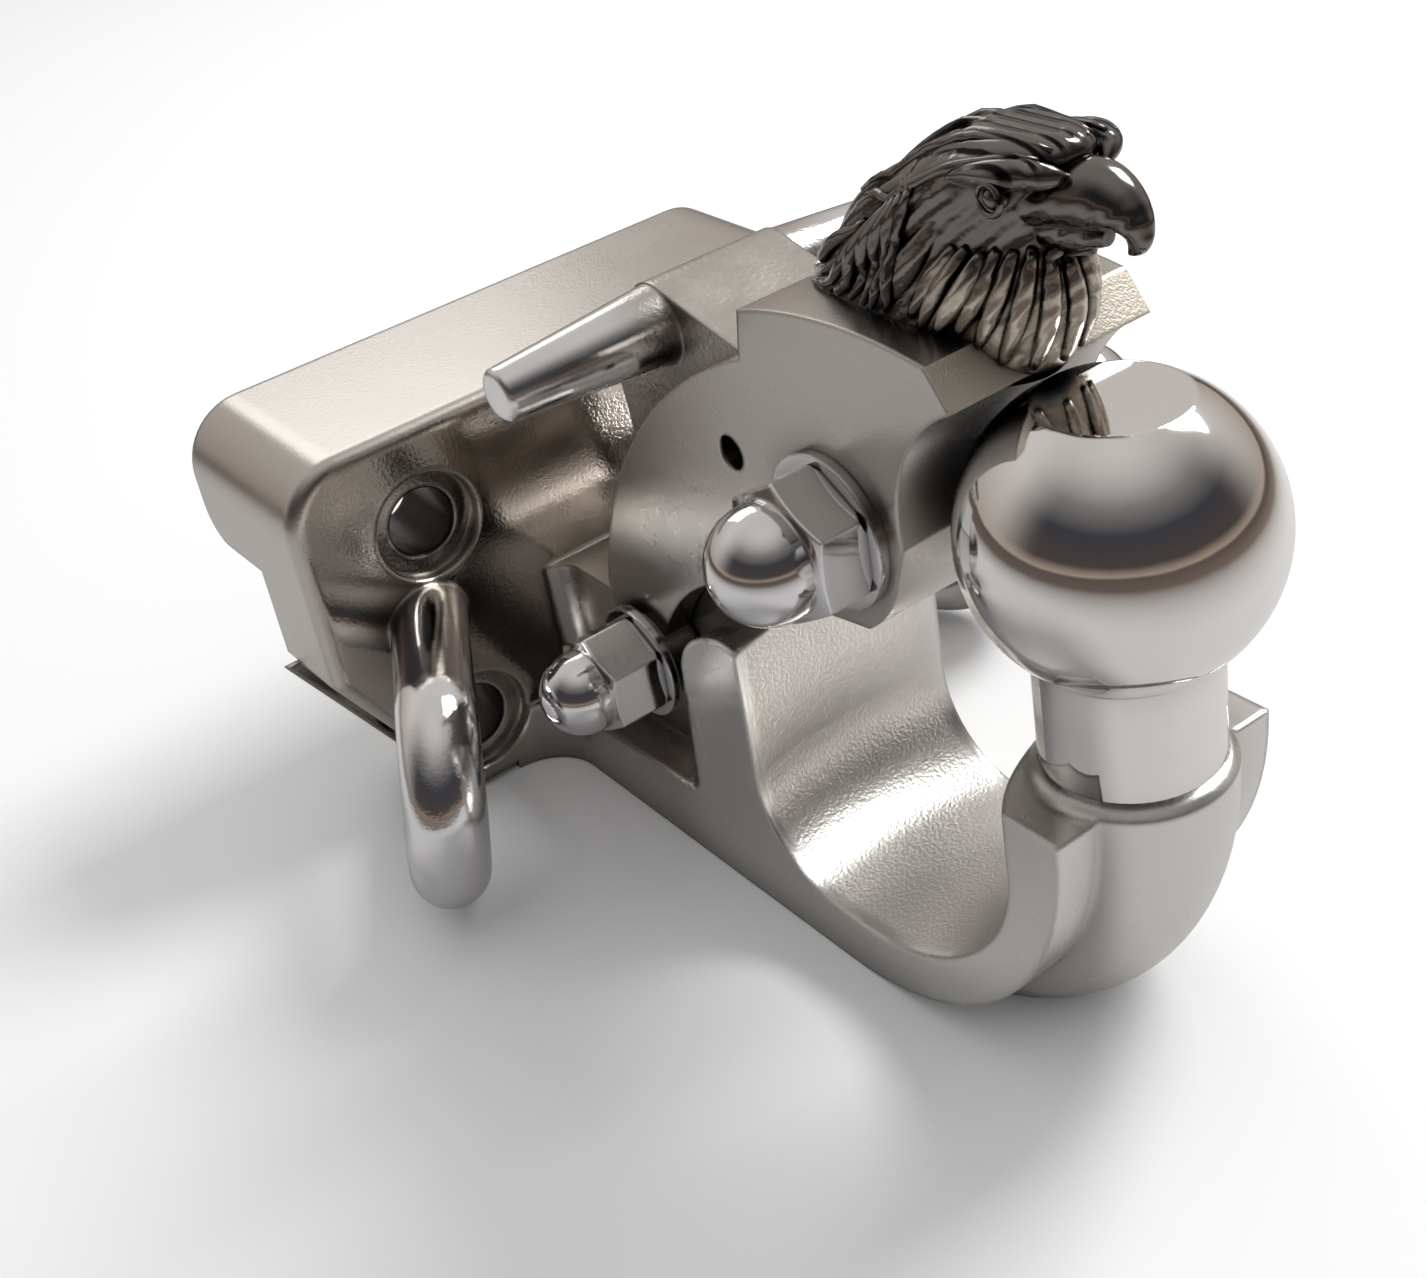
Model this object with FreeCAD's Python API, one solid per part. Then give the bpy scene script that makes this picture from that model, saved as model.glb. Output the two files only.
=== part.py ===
import os
import math
import FreeCAD
import Part

# Trailer hitch hook: a cast pintle hook on a bolt-on plate, with a tow ball on its horn
# and a spring latched upper jaw. Millimetres.
# The shape is laid out from the front face of the plate (out), the mid plane (x) and
# the surface it rests on (up); the last step moves the origin to the bolt pattern.

V = FreeCAD.Vector

# Slack for picking edges by their place
NEAR = 0.01

# Mounting plate
PLATE_HALF = 71.7
PLATE_UP = 89.3
PLATE_T = 24.0
PLATE_CORNER_R = 14.0
PLATE_CLIP_UP = 40.0
PLATE_FOOT_HALF = 46.8
PLATE_EDGE_R = 3.0
HOOD_DEPTH = 24.0
HOOD_UNDER = 60.5
HOOD_WALL = 11.0
HOOD_EDGE_R = 8.0
BOLT_X = 85.0
BOLT_Z = 50.0
BOLT_UP = 16.7
BOLT_HOLE_R = 7.5
BOLT_SEAT_R = 12.0
BOLT_SEAT_DEPTH = 3.0
SEAT_CLEAR = 24.0
LIP_T = 1.7
LIP_OVER = 3.2
LIP_UP = 37.0

# Chain loops
LOOP_BAR_R = 8.2
LOOP_ROOT_X = 48.0
LOOP_ROOT_UP = 46.0
LOOP_LEAN = 6.0
LOOP_FOOT_UP = 11.0
LOOP_TURN = 27.4
LOOP_LEG = 32.0
LOOP_SINK = 13.0

# Hook
HOOK_HALF = 24.2
NECK_HALF = 14.2
HOOK_ARC_OUT = 103.7
HOOK_ARC_R = 60.0
HORN_LEVEL = 1.0
HORN_UP = HOOK_ARC_R + HORN_LEVEL
POCKET_REAR = (19.8, 14.4)
POCKET_FRONT = (57.7, 16.9)
POCKET_TOP = (60.0, 49.0)
POCKET_ROUND = 3.0
STRIP_MID = (72.0, 60.0)
STRIP_END = (84.0, 58.0)
NECK_UP = 45.0
NECK_FLARE_R = 6.0
FOOT_FLARE_R = 12.0
BOSS_R = 17.0
BOSS_SWEEP = 80.0
COLLAR_R = 3.4
COLLAR_SINK = 1.0

# Throat groove, turned about an upright axis in front of the horn
GROOVE_OUT = 174.0
GROOVE_OUTER = 97.1
GROOVE_INNER = 33.2
GROOVE_FLOOR = 11.5
GROOVE_REAR_R = 20.0
GROOVE_HORN_R = 36.0

# Tow ball
BALL_R = 25.4
BALL_OUT = 156.5
BALL_UP = 104.3
BALL_FLAT_UP = 22.4
BALL_FLAT_R = 0.8
STEM_R = 15.2
SHANK_R = 11.0
SHANK_LENGTH = 24.0
FIT = 0.04

# Upper jaw
JAW_HALF = 20.7
SLOT_HALF = 14.7
JAW_PIVOT = (43.0, 42.0)
JAW_HUB_R = 10.0
JAW_HUB_RISE = 1.6
JAW_HUB_TO = 48.0
JAW_BACK_MID = (130.7, 27.0)
JAW_BACK_R = 103.2
JAW_BACK_FROM = 111.8
JAW_BACK_TO = 163.6
JAW_TOP_REAR = (94.2, 132.1)
JAW_TOP_MID = (121.0, 136.2)
JAW_TOP_FRONT = (139.7, 135.0)
JAW_GAP_MID = (57.5, 60.3)
JAW_GAP_END = (69.5, 69.5)
JAW_UNDER_MID = (87.0, 74.6)
JAW_UNDER_END = (118.2, 80.6)
JAW_CHIN_MID = (123.3, 85.1)
JAW_CHIN_END = (126.6, 91.5)
SCOOP_GAP = 1.8
SCOOP_FROM = 189.0
SCOOP_TO = 116.0
ROOF_UNDER = 125.0
ROOF_REAR = 93.0
JAW_FLOOR_REAR = 86.0
CAVITY_GAP = 1.0
PIN_HOLE = (85.4, 102.9)
PIN_R = 3.3

# Latch with its cross handle
LATCH_PIVOT = (112.4, 98.0)
LATCH_HALF = 14.2
LATCH_EYE_R = 12.3
EYE_FACE = 8.0
EYE_ROUND = (-110.0, 0.0, 100.0)
HANDLE_AT = (58.0, 117.0)
HANDLE_ROOT_R = 8.0
HANDLE_ROUND = (78.0, 125.0, 170.0)
HANDLE_SINK = 4.0
HANDLE_TIP_R = 4.9
HANDLE_TIP_X = 48.5
HANDLE_TIP_ROUND = 1.2
LATCH_BACK = ((45.0, 109.0), (41.2, 101.0))
LEG_BACK_MID = (42.7, 88.0)
LEG_FRONT_TOP = (55.0, 94.0)
LEG_ROUND = ((58.0, 101.0), (66.0, 104.0))
WEB_LOW = (96.0, 98.0)
WEB_TOP = (83.0, 119.0)
TOOTH_GAP = 0.45
TOOTH_REAR = 42.5
TOOTH_FRONT = 54.0
NOTCH_UP = 65.1
NOTCH_FRONT = 56.5
RAMP_END = (35.0, 67.4)
NECK_TOP = 76.0
NOTCH_SLOPE = 4.0
NOTCH_ROUND = (1.0, 2.0)
NOTCH_LEAD = 0.6
RAMP_NOSE = (2.2, 3.0, 4.0)
RAMP_BACK = (6.0, 12.0)
RAMP_BACK_UP = 5.0

# Pivot hardware
JAW_STUD_R = 6.0
BUSH_R = 9.0
RUN = 0.05
JAW_WASHER_R = 12.0
JAW_WASHER_T = 1.8
JAW_NUT_FLATS = 19.0
JAW_NUT_HEX = 12.0
JAW_NUT_DOME_R = 8.6
JAW_NUT_LENGTH = 22.5
LATCH_STUD_R = 7.0
SLEEVE_R = 8.5
LATCH_WASHER_R = 14.0
LATCH_WASHER_T = 2.2
LATCH_NUT_FLATS = 23.0
LATCH_NUT_HEX = 10.0
LATCH_NUT_DOME_R = 10.4
LATCH_NUT_LENGTH = 22.3
NUT_BOTTOM = 5.0
NUT_CHAMFER = 0.6
THREAD_SHORT = 1.0

# Latch spring
WIRE_R = 0.9
COIL_R = 10.2
COIL_PITCH = 2.1
COIL_TURNS = 1.5
COIL_START_X = 9.3
COIL_STEPS = 16
LEG_POINTS = (1.0, 0.66, 0.33)
SPRING_LOW_LEG = 9.0
SPRING_TOP_LEG = 6.5

# Eagle head ornament: up, rear, front and half width of its level sections
EAGLE_LEVELS = (
    (126.5, 92.0, 144.0, 14.6),
    (133.0, 93.5, 148.2, 14.6),
    (141.0, 101.5, 150.3, 12.8),
    (149.0, 110.0, 148.6, 11.4),
    (156.0, 118.5, 149.6, 10.9),
    (161.0, 126.0, 153.2, 9.6),
    (164.2, 132.0, 153.2, 6.8),
    (165.4, 136.5, 149.0, 3.0),
)
BEAK_LINE = ((146.0, 157.0), (154.0, 157.4), (160.3, 156.6), (163.2, 153.6), (161.6, 150.2))
BEAK_RADII = (6.6, 5.2, 3.9, 2.2, 0.5)
CHIN_LINE = ((145.0, 151.6), (152.0, 151.8), (157.5, 151.6))
CHIN_RADII = (4.4, 3.3, 1.3)
BROW_LINE = ((9.0, 134.5, 158.6), (9.3, 144.0, 161.2), (6.6, 151.8, 161.6), (3.4, 154.0, 160.6))
BROW_RADII = (0.5, 2.0, 2.0, 0.6)
EYE_AT = (9.3, 145.8, 158.4)
EYE_R = 2.0
LOCK_R = 2.7
LOCK_TIP = 0.6
LOCK_SINK = 1.0
LOCK_FULLNESS = (0.8, 1.0, 0.75)
NAPE = 176.0
NECK_LOCKS = ((48.0, 150.0), (78.0, 154.0), (104.0, 156.5), (130.0, 157.0), (156.0, 157.5))
LOCK_DRIFT = 22.0
LOCK_FOOT_UP = 134.0
EAGLE_SCREW_OUTS = (107.0, 121.0)
EAGLE_SCREW_R = 2.5
EAGLE_SCREW_HEAD_R = 5.0
EAGLE_SCREW_DEPTH = 5.5


def pt(out, up, x=0.0):
    return V(x, -out, up)


def on_circle(mid, r, deg):
    turn = math.radians(deg)
    return (mid[0] + r * math.cos(turn), mid[1] + r * math.sin(turn))


def slab(half, start, legs, x_mid=0.0):
    """Solid of a side outline; a leg is an end point, or a mid and an end point of an arc."""
    x = x_mid - half
    here = pt(start[0], start[1], x)
    edges = []
    for leg in legs:
        end = pt(leg[-1][0], leg[-1][1], x)
        if len(leg) == 2:
            edges.append(Part.Arc(here, pt(leg[0][0], leg[0][1], x), end).toShape())
        else:
            edges.append(Part.makeLine(here, end))
        here = end
    face = Part.Face(Part.Wire(edges))
    return face.extrude(V(2.0 * half, 0, 0))


def rod(r, x_from, x_to, at):
    return Part.makeCylinder(r, x_to - x_from, pt(at[0], at[1], x_from), V(1, 0, 0))


def turned(points, base, axis, side):
    """Solid of revolution; points are (radius, distance along the axis), arcs as triples."""
    here = base + side * points[0][0] + axis * points[0][1]
    edges = []
    for point in points[1:]:
        if len(point) == 4:
            mid = base + side * point[0] + axis * point[1]
            end = base + side * point[2] + axis * point[3]
            edges.append(Part.Arc(here, mid, end).toShape())
        else:
            end = base + side * point[0] + axis * point[1]
            edges.append(Part.makeLine(here, end))
        here = end
    face = Part.Face(Part.Wire(edges))
    return face.revolve(base, axis, 360)


def mirrored(shape):
    return shape.mirror(V(0, 0, 0), V(1, 0, 0))


def ribbon(points, radii):
    """Round loft along a line of points."""
    rings = []
    last = len(points) - 1
    for i, point in enumerate(points):
        ahead = points[min(i + 1, last)] - points[max(i - 1, 0)]
        rings.append(Part.Wire(Part.makeCircle(radii[i], point, ahead)))
    return Part.makeLoft(rings, True, False)


def plate_outline(y):
    r = PLATE_CORNER_R
    low = r * (1.0 - math.cos(math.radians(45.0)))
    corner = [
        V(-PLATE_HALF, y, PLATE_UP - r),
        V(-PLATE_HALF + low, y, PLATE_UP - low),
        V(-PLATE_HALF + r, y, PLATE_UP),
    ]
    other = [V(-c.x, c.y, c.z) for c in corner]
    foot = V(-PLATE_FOOT_HALF, y, 0)
    clip = V(-PLATE_HALF, y, PLATE_CLIP_UP)
    edges = [
        Part.makeLine(foot, clip),
        Part.makeLine(clip, corner[0]),
        Part.Arc(corner[0], corner[1], corner[2]).toShape(),
        Part.makeLine(corner[2], other[2]),
        Part.Arc(other[2], other[1], other[0]).toShape(),
        Part.makeLine(other[0], V(PLATE_HALF, y, PLATE_CLIP_UP)),
        Part.makeLine(V(PLATE_HALF, y, PLATE_CLIP_UP), V(PLATE_FOOT_HALF, y, 0)),
        Part.makeLine(V(PLATE_FOOT_HALF, y, 0), foot),
    ]
    return Part.Wire(edges)


def make_plate():
    wire = plate_outline(0.0)
    plate = Part.Face(wire).extrude(V(0, PLATE_T, 0))
    front = [e for e in plate.Edges if e.BoundBox.YMax < NEAR]
    plate = plate.makeFillet(PLATE_EDGE_R, front)
    hood = Part.Face(plate_outline(PLATE_T - HOOD_EDGE_R)).extrude(V(0, HOOD_DEPTH + HOOD_EDGE_R, 0))
    wide = 2.0 * PLATE_HALF
    hood = hood.common(Part.makeBox(wide, wide, wide, V(-PLATE_HALF, 0, HOOD_UNDER)))
    rear = PLATE_T + HOOD_DEPTH
    under = [
        e for e in hood.Edges
        if e.BoundBox.YMin > rear - NEAR and e.BoundBox.ZMax < HOOD_UNDER + NEAR
    ]
    hood = hood.makeFillet(HOOD_EDGE_R, under)
    room_half = PLATE_HALF - HOOD_WALL
    room_up = PLATE_UP - HOOD_WALL
    room = Part.makeBox(2.0 * room_half, HOOD_DEPTH, room_up, V(-room_half, PLATE_T, 0))
    return plate.fuse(hood.cut(room))


def make_lip():
    run = V(PLATE_HALF - PLATE_FOOT_HALF, 0, -PLATE_CLIP_UP)
    away = V(-PLATE_CLIP_UP, 0, -run.x)
    away.normalize()
    top = V(-PLATE_HALF, PLATE_T - LIP_T, PLATE_CLIP_UP)
    foot = V(-PLATE_FOOT_HALF, PLATE_T - LIP_T, 0)
    points = [top, foot, foot + away * LIP_OVER, top + away * LIP_OVER, top]
    lip = Part.Face(Part.makePolygon(points)).extrude(V(0, LIP_T, 0))
    keep = Part.makeBox(PLATE_HALF + LIP_OVER, PLATE_T, LIP_UP, V(-PLATE_HALF - LIP_OVER, 0, 0))
    return lip.common(keep)


def make_loop():
    turn = math.radians(LOOP_TURN)
    ahead = V(-math.sin(turn), -math.cos(turn), 0)
    top = V(-LOOP_ROOT_X, 0, LOOP_ROOT_UP)
    low = V(-LOOP_ROOT_X - LOOP_LEAN, 0, LOOP_FOOT_UP)
    bend = (top - low).Length / 2.0
    crown = (top + low) * 0.5 + ahead * (LOOP_LEG + bend)
    start = top - ahead * LOOP_SINK
    path = Part.Wire([
        Part.makeLine(start, top + ahead * LOOP_LEG),
        Part.Arc(top + ahead * LOOP_LEG, crown, low + ahead * LOOP_LEG).toShape(),
        Part.makeLine(low + ahead * LOOP_LEG, low - ahead * LOOP_SINK),
    ])
    ring = Part.Wire(Part.makeCircle(LOOP_BAR_R, start, ahead))
    return path.makePipeShell([ring], True, True)


def make_flare(half, r, up):
    """Foot of the neck, widening into the plate with hollow rounds."""
    slope = r * (1.0 - math.cos(math.radians(45.0)))
    sink = PLATE_T / 2.0
    a = V(-half - r, 0, 0)
    b = V(-half - slope, -slope, 0)
    c = V(-half, -r, 0)
    edges = [
        Part.makeLine(V(-half - r, sink, 0), a),
        Part.Arc(a, b, c).toShape(),
        Part.makeLine(c, V(half, -r, 0)),
        Part.Arc(V(half, -r, 0), V(-b.x, b.y, 0), V(-a.x, 0, 0)).toShape(),
        Part.makeLine(V(-a.x, 0, 0), V(-a.x, sink, 0)),
        Part.makeLine(V(-a.x, sink, 0), V(-half - r, sink, 0)),
    ]
    return Part.Face(Part.Wire(edges)).extrude(V(0, 0, up))


def make_flange():
    sink = -PLATE_T / 2.0
    arc_mid = on_circle((HOOK_ARC_OUT, HOOK_ARC_R), HOOK_ARC_R, -45.0)
    front = HOOK_ARC_OUT + HOOK_ARC_R
    body = slab(HOOK_HALF, (sink, 0), [
        ((HOOK_ARC_OUT, 0),),
        (arc_mid, (front, HOOK_ARC_R)),
        ((front, HORN_UP),),
        ((STRIP_END[0], HORN_UP),),
        (STRIP_END,),
        (STRIP_MID, POCKET_TOP),
        (POCKET_FRONT,),
        (POCKET_REAR,),
        ((sink, POCKET_REAR[1]),),
        ((sink, 0),),
    ])
    inner = [
        e for e in body.Edges
        if abs(e.BoundBox.Center.x) < NEAR
        and e.BoundBox.YMin > -POCKET_FRONT[0] - NEAR
        and e.BoundBox.YMax < -POCKET_REAR[0] - NEAR
    ]
    return body.makeFillet(POCKET_ROUND, inner)


def make_neck():
    sink = -PLATE_T / 2.0
    return slab(NECK_HALF, (sink, 0), [
        ((GROOVE_OUT - GROOVE_OUTER + HOOK_HALF, 0),),
        ((GROOVE_OUT - GROOVE_OUTER + HOOK_HALF, NECK_TOP),),
        ((NOTCH_FRONT + NOTCH_SLOPE, NECK_TOP),),
        (
            (NOTCH_FRONT + NOTCH_ROUND[0], NOTCH_UP + NOTCH_ROUND[1]),
            (NOTCH_FRONT - NOTCH_ROUND[0], NOTCH_UP),
        ),
        ((TOOTH_REAR - NOTCH_LEAD, NOTCH_UP),),
        (RAMP_END,),
        (
            (RAMP_END[0] - RAMP_NOSE[0], NOTCH_UP),
            (RAMP_END[0] - RAMP_NOSE[1], NOTCH_UP - RAMP_NOSE[2]),
        ),
        (
            (RAMP_END[0] - RAMP_BACK[0], NECK_UP + RAMP_BACK_UP),
            (RAMP_END[0] - RAMP_BACK[1], NECK_UP),
        ),
        ((sink, NECK_UP),),
        ((sink, 0),),
    ])


def make_groove():
    axis_at = V(0, -GROOVE_OUT, 0)
    rear_mid = GROOVE_OUTER - GROOVE_REAR_R
    horn_mid = GROOVE_INNER + GROOVE_HORN_R
    half = math.cos(math.radians(45.0))
    above = BALL_UP
    points = (
        (GROOVE_INNER, above),
        (GROOVE_INNER, GROOVE_FLOOR + GROOVE_HORN_R),
        (
            horn_mid - GROOVE_HORN_R * half, GROOVE_FLOOR + GROOVE_HORN_R * (1.0 - half),
            horn_mid, GROOVE_FLOOR,
        ),
        (rear_mid, GROOVE_FLOOR),
        (
            rear_mid + GROOVE_REAR_R * half, GROOVE_FLOOR + GROOVE_REAR_R * (1.0 - half),
            GROOVE_OUTER, GROOVE_FLOOR + GROOVE_REAR_R,
        ),
        (GROOVE_OUTER, above),
        (GROOVE_INNER, above),
    )
    return turned(points, axis_at, V(0, 0, 1), V(1, 0, 0))


def make_boss():
    mid = V(0, -HOOK_ARC_OUT, HOOK_ARC_R)
    ring_r = BALL_OUT - HOOK_ARC_OUT
    start = V(0, -BALL_OUT, HOOK_ARC_R)
    turn = math.radians(BOSS_SWEEP)
    end = mid + V(0, -math.cos(turn), -math.sin(turn)) * ring_r
    half = mid + V(0, -math.cos(turn / 2.0), -math.sin(turn / 2.0)) * ring_r
    path = Part.Wire([Part.Arc(start, half, end).toShape()])
    ring = Part.Wire(Part.makeCircle(BOSS_R, start, V(0, 0, 1)))
    bend = path.makePipeShell([ring], True, True)
    top = Part.makeCylinder(BOSS_R, HORN_UP - HOOK_ARC_R, start, V(0, 0, 1))
    return bend.fuse(top)


def make_collar():
    base = V(0, -BALL_OUT, HORN_UP)
    half = math.cos(math.radians(45.0))
    wide = STEM_R + COLLAR_R
    points = (
        (SHANK_R, -COLLAR_SINK),
        (wide, -COLLAR_SINK),
        (wide, 0.0),
        (wide - COLLAR_R * half, COLLAR_R * (1.0 - half), STEM_R, COLLAR_R),
        (SHANK_R, COLLAR_R),
        (SHANK_R, -COLLAR_SINK),
    )
    ring = turned(points, base, V(0, 0, 1), V(1, 0, 0))
    depth = HOOK_ARC_OUT + HOOK_ARC_R - (GROOVE_OUT - GROOVE_OUTER)
    plan = Part.makeBox(2.0 * HOOK_HALF, depth, BALL_UP, V(-HOOK_HALF, -HOOK_ARC_OUT - HOOK_ARC_R, 0))
    plan = plan.fuse(Part.makeCylinder(BOSS_R, BALL_UP, V(0, -BALL_OUT, 0)))
    return ring.common(plan)


def make_hook_body():
    loop = make_loop()
    lip = make_lip()
    body = make_plate().fuse([
        make_flare(NECK_HALF, NECK_FLARE_R, NECK_UP),
        make_flare(HOOK_HALF, FOOT_FLARE_R, POCKET_REAR[1]),
        make_flange(),
        make_neck(),
        make_boss(),
        make_collar(),
        loop,
        mirrored(loop),
        lip,
        mirrored(lip),
    ])
    body = body.cut(make_groove())
    wide = 4.0 * PLATE_HALF
    body = body.cut(Part.makeBox(wide, wide, wide, V(-wide / 2.0, -wide + PLATE_T, -wide)))
    for x in (-BOLT_X / 2.0, BOLT_X / 2.0):
        for up in (BOLT_UP, BOLT_UP + BOLT_Z):
            hole = Part.makeCylinder(BOLT_HOLE_R, 2.0 * PLATE_T, V(x, -BOLT_SEAT_R, up), V(0, 1, 0))
            seat_from = V(x, -SEAT_CLEAR, up)
            seat = Part.makeCylinder(BOLT_SEAT_R, SEAT_CLEAR + BOLT_SEAT_DEPTH, seat_from, V(0, 1, 0))
            body = body.cut(hole).cut(seat)
    bush_bore = rod(BUSH_R + FIT, -NECK_HALF, NECK_HALF, JAW_PIVOT)
    shank_low = V(0, -BALL_OUT, HORN_UP - SHANK_LENGTH)
    shank_bore = Part.makeCylinder(SHANK_R + FIT, SHANK_LENGTH + BALL_UP, shank_low)
    stem_bore = Part.makeCylinder(STEM_R + FIT, BALL_UP, V(0, -BALL_OUT, HORN_UP))
    return body.cut(bush_bore).cut(shank_bore).cut(stem_bore).removeSplitter()


def make_tow_ball():
    ball = Part.makeSphere(BALL_R, V(0, -BALL_OUT, BALL_UP))
    size = 2.0 * BALL_R
    above = Part.makeBox(size, size, size, V(-BALL_R, -BALL_OUT - BALL_R, BALL_UP + BALL_FLAT_UP))
    ball = ball.cut(above)
    rim = [e for e in ball.Edges if e.BoundBox.ZMin > BALL_UP + BALL_FLAT_UP - NEAR]
    ball = ball.makeFillet(BALL_FLAT_R, rim)
    stem = Part.makeCylinder(STEM_R, BALL_UP - HORN_UP, V(0, -BALL_OUT, HORN_UP))
    shank = Part.makeCylinder(SHANK_R, SHANK_LENGTH, V(0, -BALL_OUT, HORN_UP - SHANK_LENGTH))
    return ball.fuse([stem, shank]).removeSplitter()


def make_jaw_blank():
    back_mid = (JAW_BACK_FROM + JAW_BACK_TO) / 2.0
    ball = (BALL_OUT, BALL_UP)
    scoop_r = BALL_R + SCOOP_GAP
    scoop_mid = (SCOOP_FROM + SCOOP_TO) / 2.0
    hub_rear = (JAW_PIVOT[0] - JAW_HUB_R, JAW_PIVOT[1])
    hub_low = (JAW_PIVOT[0], JAW_PIVOT[1] - JAW_HUB_R)
    return slab(JAW_HALF, JAW_TOP_REAR, [
        (on_circle(JAW_BACK_MID, JAW_BACK_R, JAW_BACK_FROM),),
        (
            on_circle(JAW_BACK_MID, JAW_BACK_R, back_mid),
            on_circle(JAW_BACK_MID, JAW_BACK_R, JAW_BACK_TO),
        ),
        (hub_rear,),
        (hub_low, on_circle(JAW_PIVOT, JAW_HUB_R, JAW_HUB_TO)),
        (JAW_GAP_MID, JAW_GAP_END),
        (JAW_UNDER_MID, JAW_UNDER_END),
        (JAW_CHIN_MID, JAW_CHIN_END),
        (on_circle(ball, scoop_r, SCOOP_FROM),),
        (on_circle(ball, scoop_r, scoop_mid), on_circle(ball, scoop_r, SCOOP_TO)),
        (JAW_TOP_FRONT,),
        (JAW_TOP_MID, JAW_TOP_REAR),
    ])


def make_jaw(blank):
    cavity_r = LATCH_EYE_R + CAVITY_GAP
    cavity_front = LATCH_PIVOT[0] + cavity_r
    low = JAW_PIVOT[1] - 2.0 * JAW_HUB_R
    high = 2.0 * ROOF_UNDER
    slot = slab(SLOT_HALF, (0, low), [
        ((0, high),),
        ((ROOF_REAR, high),),
        ((ROOF_REAR, ROOF_UNDER),),
        ((cavity_front, ROOF_UNDER),),
        ((cavity_front, LATCH_PIVOT[1]),),
        (on_circle(LATCH_PIVOT, cavity_r, -45.0), (LATCH_PIVOT[0], LATCH_PIVOT[1] - cavity_r)),
        ((JAW_FLOOR_REAR, LATCH_PIVOT[1] - cavity_r),),
        ((JAW_FLOOR_REAR, low),),
        ((0, low),),
    ])
    jaw = blank.cut(slot)
    hub = rod(JAW_HUB_R, SLOT_HALF, JAW_HALF + JAW_HUB_RISE, JAW_PIVOT)
    jaw = jaw.fuse([hub, mirrored(hub)])
    reach = 2.0 * JAW_HALF
    jaw = jaw.cut([
        rod(JAW_STUD_R + FIT, -reach, reach, JAW_PIVOT),
        rod(LATCH_STUD_R + FIT, -reach, reach, LATCH_PIVOT),
        rod(PIN_R, -reach, reach, PIN_HOLE),
    ])
    for out in EAGLE_SCREW_OUTS:
        jaw = jaw.cut(make_eagle_screw(out, FIT))
    return jaw.removeSplitter()


def make_eagle_screw(out, gap):
    base = V(0, -out, ROOF_UNDER)
    cone = EAGLE_SCREW_HEAD_R - EAGLE_SCREW_R
    length = JAW_TOP_MID[1] - ROOF_UNDER + EAGLE_SCREW_DEPTH
    points = (
        (0, 0),
        (EAGLE_SCREW_HEAD_R + gap, 0),
        (EAGLE_SCREW_R + gap, cone),
        (EAGLE_SCREW_R + gap, length + gap),
        (0, length + gap),
        (0, 0),
    )
    return turned(points, base, V(0, 0, 1), V(1, 0, 0))


def make_latch():
    tooth_up = NOTCH_UP + TOOTH_GAP
    eye_low, eye_front, eye_top = [on_circle(LATCH_PIVOT, LATCH_EYE_R, deg) for deg in EYE_ROUND]
    grip_front, grip_top, grip_rear = [on_circle(HANDLE_AT, HANDLE_ROOT_R, deg) for deg in HANDLE_ROUND]
    bar = slab(LATCH_HALF, grip_front, [
        (grip_top, grip_rear),
        LATCH_BACK,
        (LEG_BACK_MID, (TOOTH_REAR, tooth_up)),
        ((TOOTH_FRONT, tooth_up),),
        (LEG_FRONT_TOP,),
        LEG_ROUND,
        (WEB_LOW,),
        (eye_low,),
        (eye_front, eye_top),
        (WEB_TOP,),
        (grip_front,),
    ])
    root = LATCH_HALF - HANDLE_SINK
    arm = Part.makeCone(
        HANDLE_ROOT_R, HANDLE_TIP_R, HANDLE_TIP_X - root,
        pt(HANDLE_AT[0], HANDLE_AT[1], root), V(1, 0, 0),
    )
    tip = [e for e in arm.Edges if e.BoundBox.XMin > HANDLE_TIP_X - NEAR]
    arm = arm.makeFillet(HANDLE_TIP_ROUND, tip)
    latch = bar.fuse([arm, mirrored(arm)])
    reach = 2.0 * LATCH_HALF
    spring_room = rod(LATCH_EYE_R + CAVITY_GAP, EYE_FACE, reach, LATCH_PIVOT)
    latch = latch.cut([
        rod(SLEEVE_R + RUN, -reach, reach, LATCH_PIVOT),
        rod(PIN_R, -reach, reach, PIN_HOLE),
        spring_room,
    ])
    return latch.removeSplitter()


def make_cap_nut(at, x_base, flats, hex_length, dome_r, length, bore_r, reach):
    base = pt(at[0], at[1], x_base)
    corner = flats / math.sqrt(3.0)
    points = []
    for i in range(7):
        turn = math.radians(60.0 * i + 30.0)
        points.append(base + V(0, math.cos(turn), math.sin(turn)) * corner)
    prism = Part.Face(Part.makePolygon(points)).extrude(V(hex_length, 0, 0))
    slope = (corner - flats / 2.0) * NUT_CHAMFER
    keep = turned((
        (0, 0),
        (corner - slope, 0),
        (corner, slope),
        (corner, hex_length - slope),
        (flats / 2.0 - slope, hex_length),
        (0, hex_length),
        (0, 0),
    ), base, V(1, 0, 0), V(0, 0, 1))
    barrel = length - dome_r
    half = math.cos(math.radians(45.0))
    dome = turned((
        (0, 0),
        (dome_r, 0),
        (dome_r, barrel),
        (dome_r * half, barrel + dome_r * half, 0, length),
        (0, 0),
    ), base, V(1, 0, 0), V(0, 0, 1))
    nut = prism.common(keep).fuse(dome)
    return nut.cut(rod(bore_r, x_base, x_base + reach, at)).removeSplitter()


def make_washer(at, x_base, outer, inner, thick):
    return rod(outer, x_base, x_base + thick, at).cut(rod(inner, x_base, x_base + thick, at))


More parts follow.
